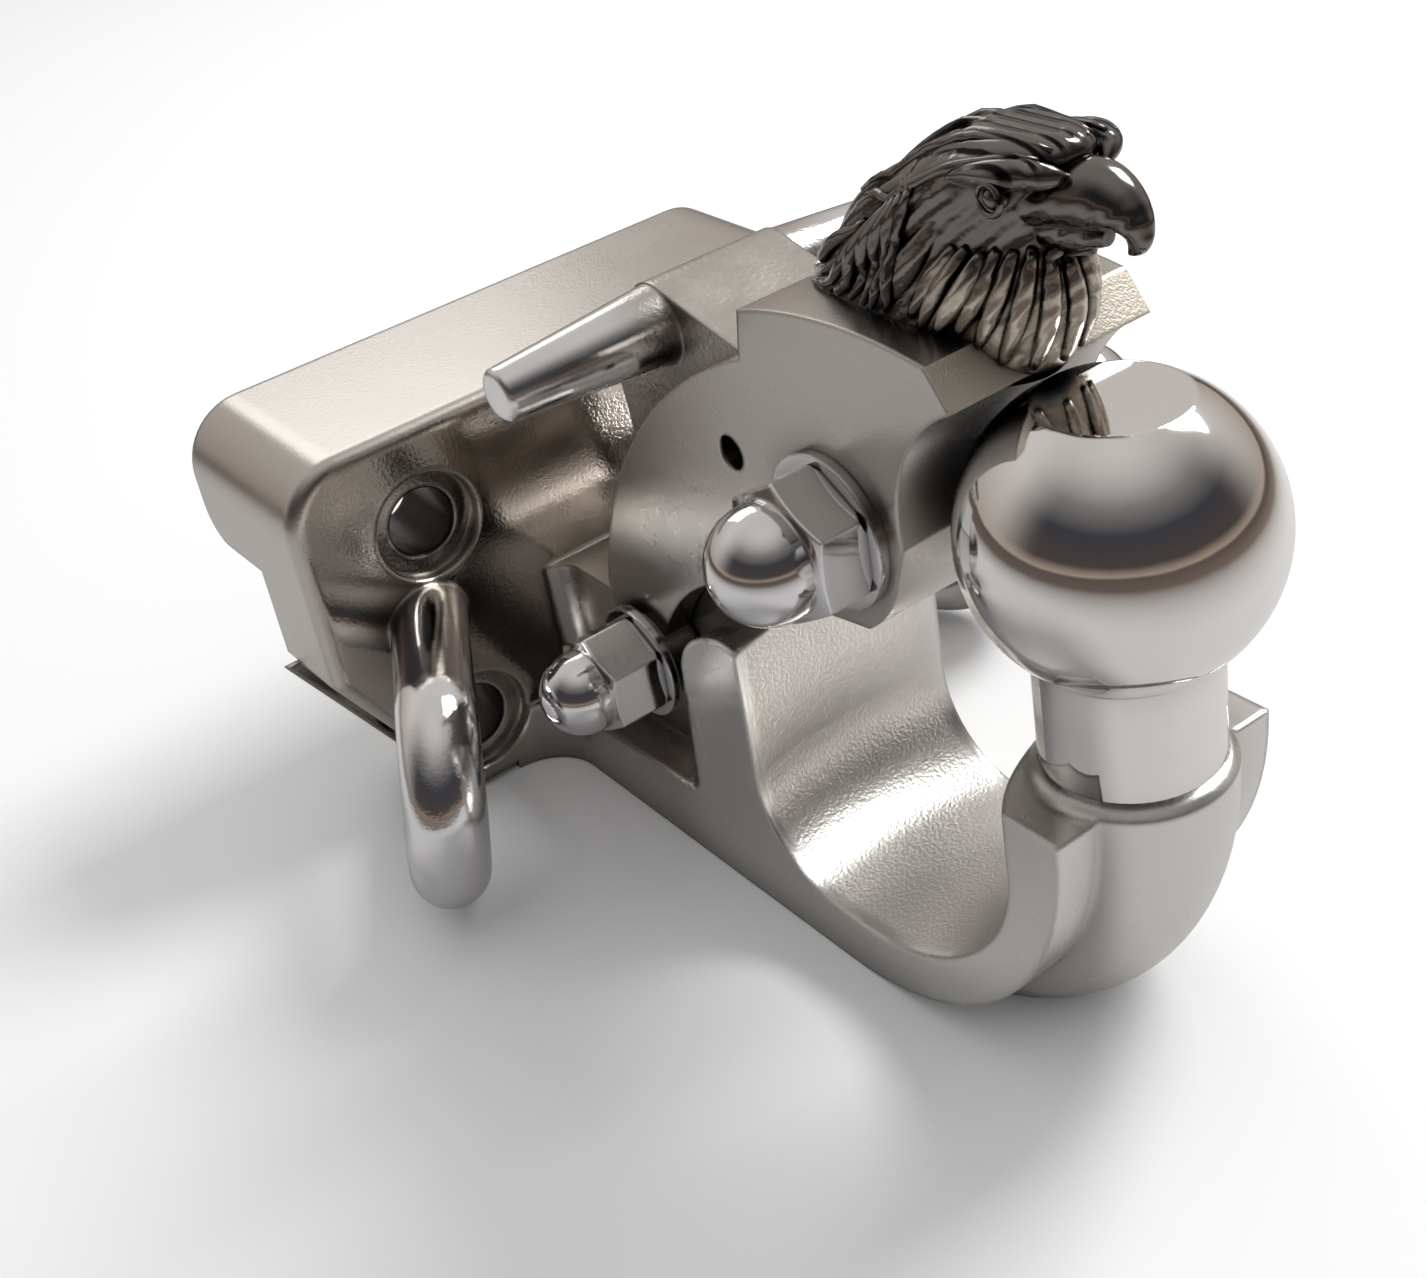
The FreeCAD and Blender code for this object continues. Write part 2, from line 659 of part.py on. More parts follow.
def make_spring():
    """Left-hand coil about the latch pivot, with a straight leg at each end."""
    low = LATCH_PIVOT[1] - COIL_R
    high = LATCH_PIVOT[1] + COIL_R
    x_end = COIL_START_X + COIL_PITCH * COIL_TURNS
    points = []
    for share in LEG_POINTS:
        points.append(pt(LATCH_PIVOT[0] - SPRING_LOW_LEG * share, low, COIL_START_X))
    steps = round(COIL_TURNS * COIL_STEPS)
    for i in range(steps + 1):
        out, up = on_circle(LATCH_PIVOT, COIL_R, 360.0 * i / COIL_STEPS - 90.0)
        points.append(pt(out, up, COIL_START_X + (x_end - COIL_START_X) * i / steps))
    for share in reversed(LEG_POINTS):
        points.append(pt(LATCH_PIVOT[0] - SPRING_TOP_LEG * share, high, x_end))
    line = Part.BSplineCurve()
    line.interpolate(points)
    ring = Part.Wire(Part.makeCircle(WIRE_R, points[0], points[1] - points[0]))
    return Part.Wire(line.toShape()).makePipeShell([ring], True, False)


def eagle_point(level, deg, grow):
    """Point on the ornament's side at a height; 0 deg is its front, 180 deg its nape."""
    for low, high in zip(EAGLE_LEVELS, EAGLE_LEVELS[1:]):
        if low[0] <= level <= high[0]:
            part = (level - low[0]) / (high[0] - low[0])
            rear, front, wide = (a + (b - a) * part for a, b in zip(low[1:], high[1:]))
    turn = math.radians(deg)
    mid = (rear + front) / 2.0
    along = ((front - rear) / 2.0 + grow) * math.cos(turn)
    return pt(mid + along, level, (wide + grow) * math.sin(turn))


def make_lock(deg, top):
    """Raised feather lock, flowing down and back."""
    radii = [LOCK_TIP] + [LOCK_R * share for share in LOCK_FULLNESS] + [LOCK_TIP]
    points = []
    for i in range(len(radii)):
        part = i / (len(radii) - 1)
        level = top + (LOCK_FOOT_UP - top) * part
        turn = min(deg + LOCK_DRIFT * part, NAPE)
        points.append(eagle_point(level, turn, -LOCK_SINK))
    return ribbon(points, radii)


def make_eagle(blank):
    rings = []
    for up, rear, front, wide in EAGLE_LEVELS:
        mid = pt((rear + front) / 2.0, up)
        ellipse = Part.Ellipse(V(0, 0, 0), (front - rear) / 2.0, wide)
        if wide > (front - rear) / 2.0:
            ellipse = Part.Ellipse(V(0, 0, 0), wide, (front - rear) / 2.0)
        wire = Part.Wire(ellipse.toShape())
        wire.rotate(V(0, 0, 0), V(0, 0, 1), 90)
        wire.translate(mid)
        rings.append(wire)
    body = Part.makeLoft(rings, True, False)
    pieces = [
        ribbon([pt(a, b) for a, b in BEAK_LINE], BEAK_RADII),
        ribbon([pt(a, b) for a, b in CHIN_LINE], CHIN_RADII),
    ]
    side = [ribbon([pt(out, up, x) for x, out, up in BROW_LINE], BROW_RADII)]
    side.append(Part.makeSphere(EYE_R, pt(EYE_AT[1], EYE_AT[2], EYE_AT[0])))
    for deg, top in NECK_LOCKS:
        side.append(make_lock(deg, top))
    for piece in side:
        pieces.append(piece)
        pieces.append(mirrored(piece))
    eagle = body.fuse(pieces).cut(blank)
    for out in EAGLE_SCREW_OUTS:
        eagle = eagle.cut(make_eagle_screw(out, FIT))
    return max(eagle.Solids, key=lambda s: s.Volume)


def pair(shape):
    return Part.makeCompound([shape, mirrored(shape)])


def build():
    blank = make_jaw_blank()
    jaw_face = JAW_HALF + JAW_HUB_RISE
    jaw_seat = jaw_face + JAW_WASHER_T
    latch_seat = JAW_HALF + LATCH_WASHER_T
    jaw_reach = JAW_NUT_LENGTH - NUT_BOTTOM
    latch_reach = LATCH_NUT_LENGTH - NUT_BOTTOM
    jaw_stud_end = jaw_seat + jaw_reach - THREAD_SHORT
    latch_stud_end = latch_seat + latch_reach - THREAD_SHORT
    bush = rod(BUSH_R, -NECK_HALF, NECK_HALF, JAW_PIVOT)
    bush = bush.cut(rod(JAW_STUD_R + RUN, -NECK_HALF, NECK_HALF, JAW_PIVOT))
    sleeve = rod(SLEEVE_R, -SLOT_HALF, SLOT_HALF, LATCH_PIVOT)
    sleeve = sleeve.cut(rod(LATCH_STUD_R + FIT, -SLOT_HALF, SLOT_HALF, LATCH_PIVOT))
    jaw_nut = make_cap_nut(
        JAW_PIVOT, jaw_seat, JAW_NUT_FLATS, JAW_NUT_HEX, JAW_NUT_DOME_R,
        JAW_NUT_LENGTH, JAW_STUD_R + FIT, jaw_reach,
    )
    latch_nut = make_cap_nut(
        LATCH_PIVOT, latch_seat, LATCH_NUT_FLATS, LATCH_NUT_HEX, LATCH_NUT_DOME_R,
        LATCH_NUT_LENGTH, LATCH_STUD_R + FIT, latch_reach,
    )
    jaw_washer = make_washer(JAW_PIVOT, jaw_face, JAW_WASHER_R, JAW_STUD_R + FIT, JAW_WASHER_T)
    latch_washer = make_washer(LATCH_PIVOT, JAW_HALF, LATCH_WASHER_R, LATCH_STUD_R + FIT, LATCH_WASHER_T)
    screws = [make_eagle_screw(out, 0.0) for out in EAGLE_SCREW_OUTS]
    return {
        "hook_body": make_hook_body(),
        "tow_ball": make_tow_ball(),
        "jaw_pivot_bush": bush,
        "upper_jaw": make_jaw(blank),
        "jaw_pivot_stud": rod(JAW_STUD_R, -jaw_stud_end, jaw_stud_end, JAW_PIVOT),
        "jaw_pivot_washers": pair(jaw_washer),
        "jaw_pivot_cap_nuts": pair(jaw_nut),
        "latch_pivot_stud": rod(LATCH_STUD_R, -latch_stud_end, latch_stud_end, LATCH_PIVOT),
        "latch_pivot_sleeve": sleeve,
        "latch_pivot_washers": pair(latch_washer),
        "latch_pivot_cap_nuts": pair(latch_nut),
        "latch_spring": make_spring(),
        "latch_lever": make_latch(),
        "eagle_head": make_eagle(blank),
        "eagle_screws": Part.makeCompound(screws),
    }


os.makedirs("parts", exist_ok=True)
for name, shape in build().items():
    shape.translate(V(0, -PLATE_T, -BOLT_UP - BOLT_Z / 2.0))
    shape.exportStep("parts/" + name + ".step")
    print(name, len(shape.Solids), round(shape.Volume), shape.isValid())
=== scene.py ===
import math

import bpy
from mathutils import Matrix, Vector


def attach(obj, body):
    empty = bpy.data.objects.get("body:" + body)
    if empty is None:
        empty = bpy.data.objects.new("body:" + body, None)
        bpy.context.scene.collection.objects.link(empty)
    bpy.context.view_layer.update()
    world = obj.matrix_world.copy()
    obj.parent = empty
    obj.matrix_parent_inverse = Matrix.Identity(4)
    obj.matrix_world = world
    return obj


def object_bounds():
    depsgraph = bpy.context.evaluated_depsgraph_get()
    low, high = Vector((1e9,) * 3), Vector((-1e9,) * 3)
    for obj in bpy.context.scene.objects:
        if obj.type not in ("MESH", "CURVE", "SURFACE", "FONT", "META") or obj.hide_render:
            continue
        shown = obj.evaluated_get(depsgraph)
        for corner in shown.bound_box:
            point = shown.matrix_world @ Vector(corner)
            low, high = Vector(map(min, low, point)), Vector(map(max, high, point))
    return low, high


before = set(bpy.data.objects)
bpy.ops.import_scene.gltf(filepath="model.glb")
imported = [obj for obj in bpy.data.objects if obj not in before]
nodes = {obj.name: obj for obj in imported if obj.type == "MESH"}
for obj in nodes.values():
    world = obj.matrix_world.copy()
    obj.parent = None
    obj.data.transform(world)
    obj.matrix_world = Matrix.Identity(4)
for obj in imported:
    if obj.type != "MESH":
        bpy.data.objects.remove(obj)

cad_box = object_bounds()

# View of the photograph: place in metres, angles in degrees, focal length and sensor in millimetres
CAMERA_AT = Vector((-0.1873, -0.3710, 0.2234))
AZIMUTH = -30.85
ELEVATION = 32.67
ROLL = -10.69
LENS = 51.24
SENSOR = 36.0

# Zones of the hook body, in metres
THROAT_Y = (-0.163, -0.100)
THROAT_HALF = (0.0205, 0.0235)
ZONE_FADE = 0.004
PLATE_FRONT_Y = -0.024
LOOP_X = (0.0445, 0.050)
# painted reflection: beyond these the hook arm gets a brighter tone, for the floor it mirrors
ARM_REFLECTION_Y = (-0.070, -0.086)
BOLT_AT = (0.0425, 0.025)
BOLT_R = 0.0075
BORE_EDGE = (1.02 * BOLT_R, 1.06 * BOLT_R)

# Zones of the jaw, the latch and the ornament, in metres
NOSE_Y = -0.160
HANDLE_X = (0.015, 0.028)
BEAK_Y = (-0.164, -0.158)
BEAK_Z = (0.112, 0.118)
CHEST_Y = (-0.150, -0.163)
CHEST_Z = (0.108, 0.100)
CAP_Y = (-0.1775, -0.1760)
CAP_Z = (0.1185, 0.1205)

# Feather ribs: places and radii in metres, turns about the ornament's axis in degrees
EAGLE_AXIS_Y = -0.148
RAY_FROM_SIDE = 0.08
RAY_FROM_TOP = 0.2
RIB_POINTS = 14
RIB_SIDES = 8
RIB_TIP = 0.18
RIB_SWELL = 0.7
RIB_SPAN = (0.08, 0.86)
RIB_TOP_WAY = Vector((0.0, 0.35, 1.0))
CHEST_TOP = 0.1075
CHEST_LOW = 0.0885
CHEST_RIBS_A_SIDE = 7
CHEST_RIB = 0.00165
CHEST_TURN = 5.5
CHEST_SPREAD = 7.0
NECK_TOP = 0.1150
NECK_LOW = 0.0925
NECK_LOCKS = 8
NECK_RIB = 0.00135
NECK_FROM = 66.0
NECK_STEP = 9.0
NECK_RUN = 34.0
NECK_RUN_GAIN = 3.0
NECK_WAVE = 5.0
NECK_DROP = 0.0012
NECK_CURVE = 0.85
NAPE = 179.0
CROWN_Y = (-0.1755, -0.1330)
CROWN_LINES = 3
CROWN_RIB = 0.0009
CROWN_FIRST_X = 0.0012
CROWN_STEP_X = 0.0026
CROWN_SWELL = 0.55
EYE_AT = Vector((0.0108, -0.1698, 0.1167))
EYE_RING = 0.0023
EYE_RIB = 0.0006
EYE_POINTS = 16

# Tones of painted shade, laid into bolt bores, hollows and crown grooves
BORE_SHADE = (0.03, 0.027, 0.025)
BODY_HOLLOW_SHADE = (0.05, 0.045, 0.04)
CAST_HOLLOW_SHADE = (0.04, 0.035, 0.03)
EAGLE_SHADE = (0.01, 0.01, 0.012)
MIRROR_HOLLOW_SHADE = (0.12, 0.11, 0.10)

# Floor: tones as seen, as mirrored close by and as mirrored far off; sizes in metres
PAPER = (0.93, 0.93, 0.93)
PAPER_MIRRORED = (0.60, 0.59, 0.58)
PAPER_FAR = (0.16, 0.12, 0.10)
PAPER_FADE = (0.30, 0.75)
FLOOR_SIZE = 8.0
FLOOR_GAP = 0.0002

# Tones of the room that the chrome mirrors, by height, before and behind the part
FRONT_SKY = (
    (0.0, (0.34, 0.27, 0.22)),
    (0.10, (0.07, 0.055, 0.05)),
    (0.45, (0.045, 0.045, 0.055)),
    (0.70, (0.20, 0.19, 0.18)),
    (1.0, (0.62, 0.60, 0.58)),
)
REAR_SKY = (
    (0.0, (0.42, 0.36, 0.32)),
    (0.22, (0.50, 0.46, 0.43)),
    (0.60, (0.64, 0.61, 0.58)),
    (1.0, (0.58, 0.56, 0.54)),
)
REAR_WAY = (0.51, 0.86, 0.0)
REAR_FADE = (-0.35, 0.45)
ROOM_LIGHT = (0.62, 0.62, 0.62)
WHITE = (1.0, 1.0, 1.0)

# Lamps: name, place and size in metres, power in watts
LAMPS = (
    ("key", (0.75, -0.15, 0.85), 0.45, 9.0),
    ("back", (0.25, 0.9, 0.7), 0.5, 1.2),
)
LAMP_AIM = Vector((0.0, -0.08, 0.02))


def set_camera():
    a = math.radians(AZIMUTH)
    e = math.radians(ELEVATION)
    k = math.radians(ROLL)
    ahead = Vector((-math.sin(a) * math.cos(e), math.cos(a) * math.cos(e), -math.sin(e)))
    side = Vector((math.cos(a), math.sin(a), 0.0))
    top = side.cross(ahead)
    right = side * math.cos(k) + top * math.sin(k)
    up = top * math.cos(k) - side * math.sin(k)
    data = bpy.data.cameras.new("photo_view")
    data.sensor_fit = "HORIZONTAL"
    data.sensor_width = SENSOR
    data.lens = LENS
    data.clip_start = 0.01
    data.clip_end = 20.0
    camera = bpy.data.objects.new("photo_view", data)
    turn = Matrix((right, up, -ahead)).transposed().to_4x4()
    camera.matrix_world = Matrix.Translation(CAMERA_AT) @ turn
    bpy.context.scene.collection.objects.link(camera)
    bpy.context.scene.camera = camera


def blend(tree, factor, a, b):
    """Mix of two tones; each is a colour or a node's output."""
    node = tree.nodes.new("ShaderNodeMix")
    node.data_type = "RGBA"
    tree.links.new(factor, node.inputs["Factor"])
    for socket, value in ((node.inputs[6], a), (node.inputs[7], b)):
        if isinstance(value, tuple):
            socket.default_value = (*value, 1.0)
        else:
            tree.links.new(value, socket)
    return node.outputs[2]


class Graph:
    """Short way to wire a metal's nodes."""

    def __init__(self, name):
        self.material = bpy.data.materials.new(name)
        self.material.use_nodes = True
        self.tree = self.material.node_tree
        self.shader = self.tree.nodes["Principled BSDF"]
        self.shader.inputs["Metallic"].default_value = 1.0
        self.place = self.add("ShaderNodeTexCoord").outputs["Object"]

    def add(self, kind, **settings):
        node = self.tree.nodes.new(kind)
        for key, value in settings.items():
            setattr(node, key, value)
        return node

    def link(self, a, b):
        self.tree.links.new(a, b)

    def noise(self, scale, detail=4.0, rough=0.55):
        node = self.add("ShaderNodeTexNoise")
        node.inputs["Scale"].default_value = scale
        node.inputs["Detail"].default_value = detail
        node.inputs["Roughness"].default_value = rough
        self.link(self.place, node.inputs["Vector"])
        return node.outputs["Fac"]

    def bands(self, direction, scale, distortion, place):
        node = self.add("ShaderNodeTexWave", wave_type="BANDS", bands_direction=direction)
        node.inputs["Scale"].default_value = scale
        node.inputs["Distortion"].default_value = distortion
        self.link(place, node.inputs["Vector"])
        return node

    def ramp(self, value, low, high, a=0.0, b=1.0):
        node = self.add("ShaderNodeMapRange", interpolation_type="SMOOTHSTEP")
        node.inputs["From Min"].default_value = low
        node.inputs["From Max"].default_value = high
        node.inputs["To Min"].default_value = a
        node.inputs["To Max"].default_value = b
        self.link(value, node.inputs["Value"])
        return node.outputs["Result"]

    def math(self, kind, a, b):
        node = self.add("ShaderNodeMath", operation=kind)
        for socket, value in zip(node.inputs, (a, b)):
            if isinstance(value, float):
                socket.default_value = value
            else:
                self.link(value, socket)
        return node.outputs["Value"]

    def times(self, a, b):
        return self.math("MULTIPLY", a, b)

    def size_of(self, value):
        return self.math("ABSOLUTE", value, 0.0)

    def mix(self, factor, a, b):
        return blend(self.tree, factor, a, b)

    def axes(self):
        node = self.add("ShaderNodeSeparateXYZ")
        self.link(self.place, node.inputs["Vector"])
        return node.outputs

    def normal_axes(self):
        source = self.add("ShaderNodeNewGeometry")
        node = self.add("ShaderNodeSeparateXYZ")
        self.link(source.outputs["Normal"], node.inputs["Vector"])
        return node.outputs

    # Ambient occlusion factor, used to paint shade into the colour of hollows
    def hollow_shade(self, reach):
        node = self.add("ShaderNodeAmbientOcclusion", samples=8)
        node.inputs["Distance"].default_value = reach
        return node.outputs["AO"]

    def surface(self, height, strength, depth, edge):
        """Relief over edges that are rounded in the shading."""
        rounded = self.add("ShaderNodeBevel", samples=6)
        rounded.inputs["Radius"].default_value = edge
        bump = self.add("ShaderNodeBump")
        bump.inputs["Strength"].default_value = strength
        bump.inputs["Distance"].default_value = depth
        self.link(height, bump.inputs["Height"])
        self.link(rounded.outputs["Normal"], bump.inputs["Normal"])
        self.link(bump.outputs["Normal"], self.shader.inputs["Normal"])

    def color(self, value):
        self.link(value, self.shader.inputs["Base Color"])

    def rough(self, value):
        self.link(value, self.shader.inputs["Roughness"])


def mirror_chrome(name, tint=(0.80, 0.80, 0.81)):
    g = Graph(name)
    cloud = g.noise(scale=60.0)
    # painted shade: darker colour in hollows
    g.color(g.mix(g.hollow_shade(reach=0.006), MIRROR_HOLLOW_SHADE, tint))
    g.rough(g.ramp(cloud, 0.3, 0.8, 0.035, 0.085))
    g.surface(g.noise(scale=130.0, detail=2.0), strength=0.06, depth=0.0004, edge=0.0008)
    return g.material


def bolt_bore_shade(g):
    """Mask for painted shade: one inside the four bolt holes of the plate, zero elsewhere."""
    x, y, z = g.axes()
    aside = g.math("SUBTRACT", g.size_of(x), BOLT_AT[0])
    above = g.math("SUBTRACT", g.size_of(z), BOLT_AT[1])
    away = g.math("ADD", g.times(aside, aside), g.times(above, above))
    bore = g.ramp(away, BORE_EDGE[0] ** 2, BORE_EDGE[1] ** 2, 1.0, 0.0)
    return g.times(bore, g.ramp(y, PLATE_FRONT_Y - 0.001, PLATE_FRONT_Y))


def body_chrome():
    """Satin casting, polished on the plate face and the loops, coarse in the throat."""
    g = Graph("cast_chrome")
    axes = g.axes()
    x = axes["X"]
    y = axes["Y"]
    cloud = g.noise(scale=45.0)
    grain = g.noise(scale=1400.0, detail=3.0)
    in_front = g.ramp(y, THROAT_Y[0] - ZONE_FADE, THROAT_Y[0])
    behind = g.ramp(y, THROAT_Y[1], THROAT_Y[1] + ZONE_FADE, 1.0, 0.0)
    inside = g.ramp(g.size_of(x), *THROAT_HALF, 1.0, 0.0)
    throat = g.times(g.times(in_front, behind), inside)
    forward = g.ramp(g.normal_axes()[1], -0.97, -0.85, 1.0, 0.0)
    face = g.times(forward, g.ramp(y, PLATE_FRONT_Y - ZONE_FADE, PLATE_FRONT_Y - 0.001))
    before = g.ramp(y, PLATE_FRONT_Y - 0.006, PLATE_FRONT_Y - 0.002, 1.0, 0.0)
    loops = g.times(g.ramp(g.size_of(x), *LOOP_X), before)
    tone = g.mix(cloud, (0.53, 0.50, 0.47), (0.57, 0.54, 0.51))
    # painted reflection: brighter tone on the hook arm, for the floor mirrored in it
    tone = g.mix(g.ramp(y, *ARM_REFLECTION_Y), tone, (0.72, 0.71, 0.69))
    tone = g.mix(face, tone, (0.60, 0.55, 0.50))
    tone = g.mix(throat, tone, (0.66, 0.64, 0.61))
    tone = g.mix(loops, tone, (0.82, 0.82, 0.83))
    # painted shade: darker colour in hollows
    tone = g.mix(g.hollow_shade(reach=0.010), BODY_HOLLOW_SHADE, tone)
    # painted shade: the inside of the bolt bores is coloured near black
    g.color(g.mix(bolt_bore_shade(g), tone, BORE_SHADE))
    satin = g.ramp(cloud, 0.3, 0.75, 0.25, 0.29)
    polish = g.times(g.math("MAXIMUM", face, loops), 0.20)
    coarse = g.times(throat, 0.06)
    g.rough(g.math("ADD", g.math("SUBTRACT", satin, polish), coarse))
    height = g.times(grain, g.ramp(throat, 0.0, 1.0, 0.25, 1.0))
    g.surface(height, strength=0.35, depth=0.0004, edge=0.0016)
    return g.material


def jaw_chrome():
    """Satin cheeks with a blasted bevel on the nose."""
    g = Graph("jaw_chrome")
    y = g.axes()["Y"]
    cloud = g.noise(scale=50.0)
    grain = g.noise(scale=2200.0, detail=2.0)
    normal = g.normal_axes()
    slope = g.times(g.ramp(normal[1], -0.5, -0.62), g.ramp(normal[2], 0.4, 0.55))
    blasted = g.times(slope, g.ramp(y, NOSE_Y, NOSE_Y - 0.003))
    tone = g.mix(cloud, (0.50, 0.475, 0.445), (0.55, 0.525, 0.495))
    tone = g.mix(blasted, tone, (0.90, 0.85, 0.75))
    # painted shade: darker colour in hollows
    g.color(g.mix(g.hollow_shade(reach=0.008), CAST_HOLLOW_SHADE, tone))
    satin = g.ramp(cloud, 0.3, 0.75, 0.25, 0.29)
    g.rough(g.math("ADD", satin, g.times(blasted, 0.32)))
    height = g.times(grain, g.ramp(blasted, 0.0, 1.0, 0.15, 1.0))
    g.surface(height, strength=0.5, depth=0.0003, edge=0.0010)
    return g.material


def latch_chrome():
    """Bright arms, coarse towards the web."""
    g = Graph("latch_chrome")
    x = g.axes()["X"]
    cloud = g.noise(scale=70.0)
    grain = g.noise(scale=900.0, detail=3.0)
    arm = g.ramp(g.size_of(x), *HANDLE_X)
    tone = g.mix(cloud, (0.52, 0.49, 0.46), (0.60, 0.57, 0.54))
    tone = g.mix(arm, tone, (0.80, 0.80, 0.80))
    # painted shade: darker colour in hollows
    g.color(g.mix(g.hollow_shade(reach=0.008), CAST_HOLLOW_SHADE, tone))
    g.rough(g.math("SUBTRACT", g.ramp(cloud, 0.3, 0.75, 0.22, 0.34), g.times(arm, 0.16)))
    height = g.times(grain, g.ramp(arm, 0.0, 1.0, 1.0, 0.1))
    g.surface(height, strength=0.3, depth=0.0004, edge=0.0012)
    return g.material


def eagle_chrome():
    """Dark chrome with near-black painted shade in its recesses and crown grooves, combed sides, a
    lined crown and a paler chest.
    """
    g = Graph("eagle_chrome")
    axes = g.axes()
    y = axes["Y"]
    z = axes["Z"]
    lean = g.add("ShaderNodeMapping")
    lean.inputs["Rotation"].default_value = (math.radians(41.0), 0.0, 0.0)
    g.link(g.place, lean.inputs["Vector"])
    comb = g.bands("Z", 120.0, 2.2, lean.outputs["Vector"])
    comb.inputs["Detail"].default_value = 2.0
    comb.inputs["Detail Scale"].default_value = 2.0
    lines = g.bands("X", 120.0, 1.0, g.place).outputs["Fac"]
    beak = g.times(g.ramp(y, *BEAK_Y, 1.0, 0.0), g.ramp(z, *BEAK_Z))
    chest = g.times(g.ramp(y, *CHEST_Y), g.ramp(z, *CHEST_Z))
    cap = g.times(g.ramp(z, *CAP_Z), g.ramp(y, *CAP_Y))
    tone = g.mix(chest, (0.20, 0.19, 0.18), (0.66, 0.60, 0.52))
    # painted shade: near-black colour in hollows
    tone = g.mix(g.ramp(g.hollow_shade(reach=0.004), 0.45, 0.95), EAGLE_SHADE, tone)
    # painted shade: the crown's line grooves are coloured near black
    groove_shade = g.times(cap, g.ramp(lines, 0.35, 0.05))
    g.color(g.mix(groove_shade, tone, EAGLE_SHADE))
    gloss = g.ramp(g.noise(scale=300.0), 0.3, 0.8, 0.10, 0.20)
    g.rough(g.math("ADD", gloss, g.times(chest, 0.15)))
    combed = g.times(comb.outputs["Fac"], g.ramp(beak, 0.0, 1.0, 1.0, 0.05))
    height = g.math("ADD", combed, g.times(lines, g.times(cap, 1.6)))
    g.surface(height, strength=0.30, depth=0.0007, edge=0.0005)
    return g.material


def plain_metal(name, color, low, high):
    g = Graph(name)
    cloud = g.noise(scale=160.0)
    g.color(g.mix(cloud, tuple(0.85 * c for c in color), color))
    g.rough(g.ramp(cloud, 0.3, 0.75, low, high))
    g.surface(g.noise(scale=700.0), strength=0.15, depth=0.0002, edge=0.0005)
    return g.material


def dress():
    bright = mirror_chrome("mirror_chrome")
    steel = plain_metal("plated_steel", (0.60, 0.60, 0.60), 0.22, 0.36)
    looks = {
        "hook_body": body_chrome(),
        "tow_ball": mirror_chrome("ball_chrome", (0.84, 0.83, 0.82)),
        "upper_jaw": jaw_chrome(),
        "latch_lever": latch_chrome(),
        "eagle_head": eagle_chrome(),
        "jaw_pivot_bush": plain_metal("bronze", (0.72, 0.52, 0.28), 0.25, 0.40),
        "latch_spring": plain_metal("spring_wire", (0.42, 0.42, 0.43), 0.25, 0.35),
        "jaw_pivot_cap_nuts": bright,
        "latch_pivot_cap_nuts": bright,
        "jaw_pivot_washers": bright,
        "latch_pivot_washers": bright,
    }
    for name, node in nodes.items():
        node.data.materials.clear()
        node.data.materials.append(looks.get(name, steel))


def eagle_hit(start, way):
    hit, point = nodes["eagle_head"].ray_cast(start, way)[:2]
    return point if hit else None


def side_point(deg, up):
    """Point on the ornament's side: 0 deg is its chest, 180 deg its nape."""
    a = math.radians(deg)
    out = Vector((math.sin(a), -math.cos(a), 0.0))
    return eagle_hit(Vector((0.0, EAGLE_AXIS_Y, up)) + out * RAY_FROM_SIDE, -out)


def crown_point(x, y):
    """Point on the ornament's crown, low enough for a rib to stay under the part's top."""
    point = eagle_hit(Vector((x, y, RAY_FROM_TOP)), Vector((0, 0, -1)))
    if point is not None:
        point.z = min(point.z, cad_box[1][2] - CROWN_RIB)
    return point


def shares():
    return [i / (RIB_POINTS - 1) for i in range(RIB_POINTS)]


def chest_rib(k):
    points = []
    for t in shares():
        up = CHEST_TOP + (CHEST_LOW - CHEST_TOP) * t
        points.append(side_point(k * (CHEST_TURN + CHEST_SPREAD * t), up))
    return points


def neck_lock(side, k):
    points = []
    drop = NECK_DROP * k
    for t in shares():
        wave = NECK_WAVE * math.sin(2.0 * math.pi * t)
        deg = NECK_FROM + NECK_STEP * k + (NECK_RUN + NECK_RUN_GAIN * k) * t + wave
        up = NECK_TOP - drop + (NECK_LOW - NECK_TOP + drop) * t ** NECK_CURVE
        points.append(side_point(side * min(deg, NAPE), up))
    return points


def crown_line(side, k):
    points = []
    for t in shares():
        x = side * (CROWN_FIRST_X + CROWN_STEP_X * k) * (1.0 + CROWN_SWELL * math.sin(math.pi * t))
        points.append(crown_point(x, CROWN_Y[0] + (CROWN_Y[1] - CROWN_Y[0]) * t))
    return points


def eye_ring(side):
    points = []
    for i in range(EYE_POINTS + 1):
        a = 2.0 * math.pi * i / EYE_POINTS
        y = EYE_AT.y + EYE_RING * math.cos(a)
        points.append(Vector((side * EYE_AT.x, y, EYE_AT.z + EYE_RING * math.sin(a))))
    return points


def strand(points, radius, verts, faces):
    """Tapered round rib along surface points."""
    points = [p for p in points if p is not None]
    last = len(points) - 1
    if last < 3:
        return
    start = len(verts)
    for i, point in enumerate(points):
        ahead = (points[min(i + 1, last)] - points[max(i - 1, 0)]).normalized()
        side = ahead.cross(RIB_TOP_WAY).normalized()
        top = side.cross(ahead)
        swell = math.sin(math.pi * (RIB_SPAN[0] + RIB_SPAN[1] * i / last)) ** RIB_SWELL
        r = radius * (RIB_TIP + (1.0 - RIB_TIP) * swell)
        for j in range(RIB_SIDES):
            b = 2.0 * math.pi * j / RIB_SIDES
            verts.append(point + side * (r * math.cos(b)) + top * (r * math.sin(b)))
    for i in range(last):
        for j in range(RIB_SIDES):
            here = start + i * RIB_SIDES + j
            over = start + i * RIB_SIDES + (j + 1) % RIB_SIDES
            faces.append((here, over, over + RIB_SIDES, here + RIB_SIDES))
    faces.append(tuple(range(start + RIB_SIDES - 1, start - 1, -1)))
    faces.append(tuple(range(start + last * RIB_SIDES, start + (last + 1) * RIB_SIDES)))


